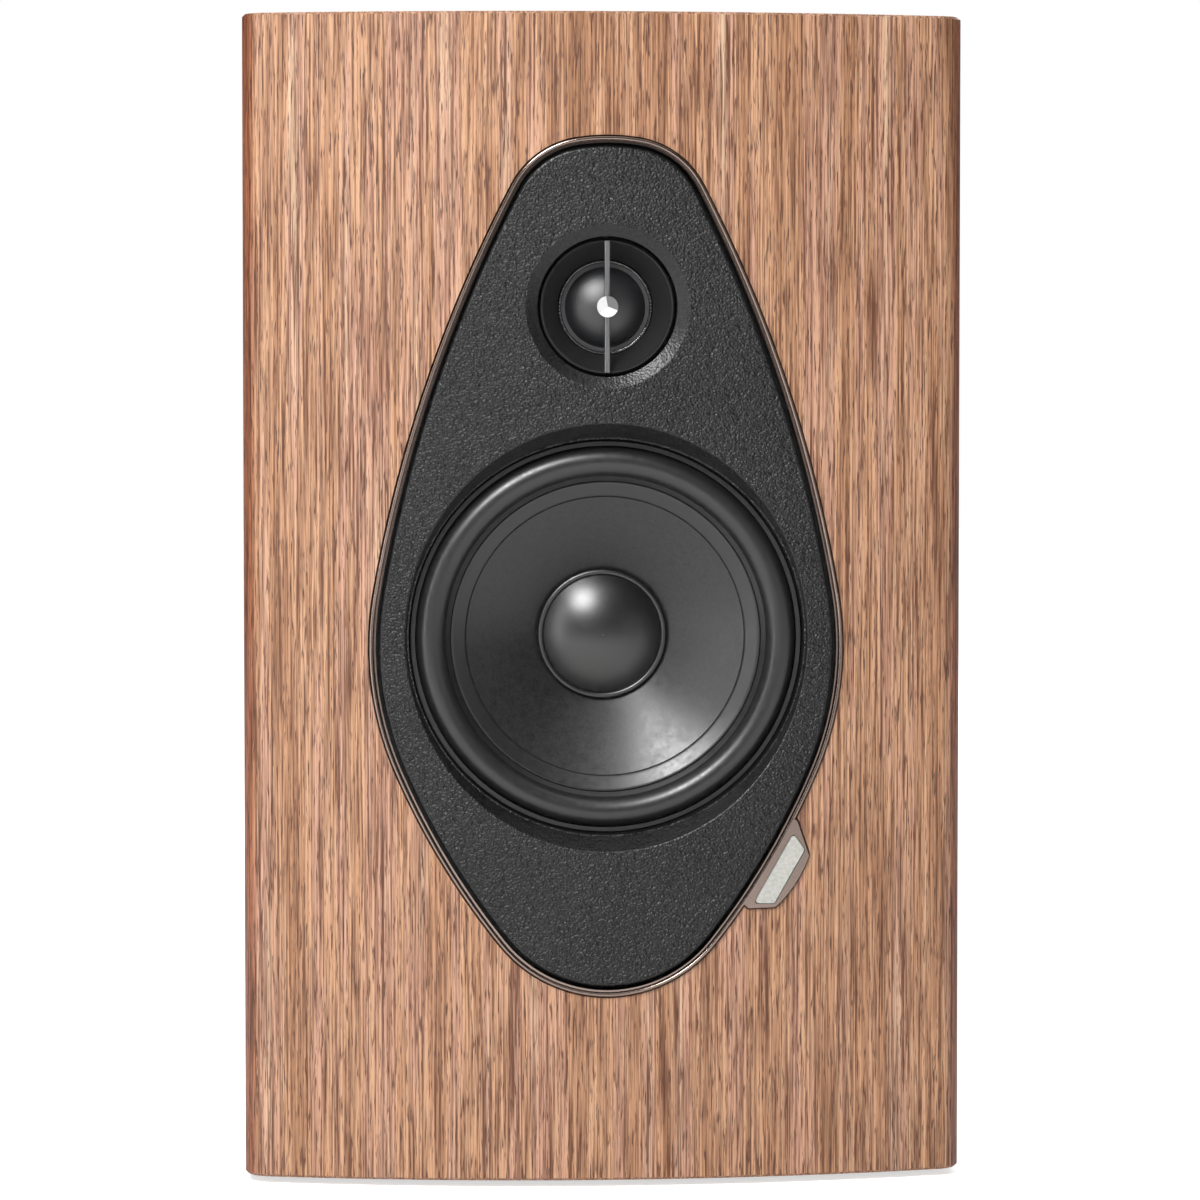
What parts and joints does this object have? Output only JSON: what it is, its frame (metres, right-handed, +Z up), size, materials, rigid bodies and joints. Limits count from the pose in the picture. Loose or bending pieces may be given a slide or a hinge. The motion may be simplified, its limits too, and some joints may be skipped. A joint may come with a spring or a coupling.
{
  "type": "bookshelf speaker",
  "caption": "Powered two-way bookshelf speaker: bowed walnut cabinet, almond leather panel in metal trim, woofer, dome tweeter, rear connection bay.",
  "frame": {"origin": "centre of the footprint, on the surface the speaker stands on", "axes": "+Z up, front faces -Y, +X to the right seen from the front"},
  "size_m": [0.21, 0.27, 0.34],
  "materials": {
    "walnut_veneer": "open-pore oiled walnut veneer, vertical grain",
    "black_lacquer": "board, satin black paint",
    "raw_board": "bare fibreboard",
    "felt": "grey felt",
    "zinc_steel": "zinc-plated steel",
    "black_screws": "blackened steel",
    "black_leather": "fine-grained black leather",
    "gunmetal_trim": "gunmetal satin metal",
    "milky_lens": "translucent white",
    "circuit_board": "green board",
    "cast_aluminium": "cast, black",
    "black_rubber": "satin black rubber",
    "paper_cone": "dark grey coated paper pulp",
    "satin_cap": "satin black",
    "coil_copper": "enamelled copper",
    "coil_former": "aluminium foil",
    "treated_cloth": "coated black cloth",
    "ferrite": "dark sintered ceramic",
    "black_plastic": "moulded black plastic",
    "satin_metal_bar": "dark satin metal",
    "polished_metal": "bright machined aluminium",
    "anodised_black": "black anodised aluminium",
    "plated_socket": "gold-plated brass",
    "wire_insulation": "insulated wire"
  },
  "bodies": {
    "root": {"amplifier_board": "circuit_board", "amplifier_chips": "black_plastic", "board_standoffs": "zinc_steel", "bottom_panel": "walnut_veneer", "button_switches": "black_plastic", "cabinet_shell": "walnut_veneer", "damping_pads": "felt", "driver_baffle": "black_lacquer", "driver_screws": "zinc_steel", "filter_capacitors": "black_plastic", "heat_sink": "anodised_black", "inner_brace": "raw_board", "leather_panel": "black_leather", "main_board": "circuit_board", "mains_inlet": "black_plastic", "network_socket": "black_plastic", "optical_socket": "black_plastic", "output_inductors": "coil_copper", "phono_sockets": "plated_socket", "power_supply_board": "circuit_board", "power_switch_frame": "black_plastic", "power_transformer": "ferrite", "rear_baffle": "black_lacquer", "rear_plate": "anodised_black", "rear_plate_screws": "black_screws", "reflex_port": "black_plastic", "rubber_feet": "black_rubber", "stand_inserts": "zinc_steel", "status_light_board": "circuit_board", "status_light_lens": "milky_lens", "top_panel": "walnut_veneer", "trim_frame": "gunmetal_trim", "tweeter_apex_cap": "polished_metal", "tweeter_chamber": "black_plastic", "tweeter_damper_bar": "satin_metal_bar", "tweeter_faceplate": "black_plastic", "tweeter_leads": "wire_insulation", "tweeter_magnet": "ferrite", "tweeter_surround": "treated_cloth", "tweeter_top_plate": "zinc_steel", "tweeter_yoke": "zinc_steel", "video_socket": "black_plastic", "woofer_basket": "cast_aluminium", "woofer_gasket": "black_rubber", "woofer_leads": "wire_insulation", "woofer_magnet": "ferrite", "woofer_spider": "treated_cloth", "woofer_surround": "black_rubber", "woofer_terminals": "black_plastic", "woofer_top_plate": "zinc_steel", "woofer_yoke": "zinc_steel"},
    "woofer_moving": {"woofer_cone": "paper_cone", "woofer_dust_cap": "satin_cap", "woofer_former": "coil_former", "woofer_coil": "coil_copper"},
    "tweeter_moving": {"tweeter_dome": "treated_cloth", "tweeter_coil": "coil_copper"},
    "rocker": {"power_rocker": "black_plastic"},
    "pair_key": {"pair_button": "black_plastic"},
    "setup_key": {"setup_button": "black_plastic"}
  },
  "joints": [
    {"name": "woofer_travel", "type": "slide", "parent": "root", "child": "woofer_moving", "axis": [0, -1, 0], "range_m": [-0.005, 0.005], "stiffness_N_per_m": 1000, "deforming": ["woofer_surround", "woofer_spider"]},
    {"name": "tweeter_travel", "type": "slide", "parent": "root", "child": "tweeter_moving", "axis": [0, -1, 0], "range_m": [-0.0004, 0.0004], "stiffness_N_per_m": 1500, "deforming": ["tweeter_surround"]},
    {"name": "power_rock", "type": "hinge", "parent": "root", "child": "rocker", "pos_m": [-0.028, 0.1215, 0.088], "axis": [-1, 0, 0], "range_deg": [0, 16]},
    {"name": "pair_press", "type": "slide", "parent": "root", "child": "pair_key", "axis": [0, -1, 0], "range_m": [0, 0.001], "stiffness_N_per_m": 300},
    {"name": "setup_press", "type": "slide", "parent": "root", "child": "setup_key", "axis": [0, -1, 0], "range_m": [0, 0.001], "stiffness_N_per_m": 300}
  ]
}
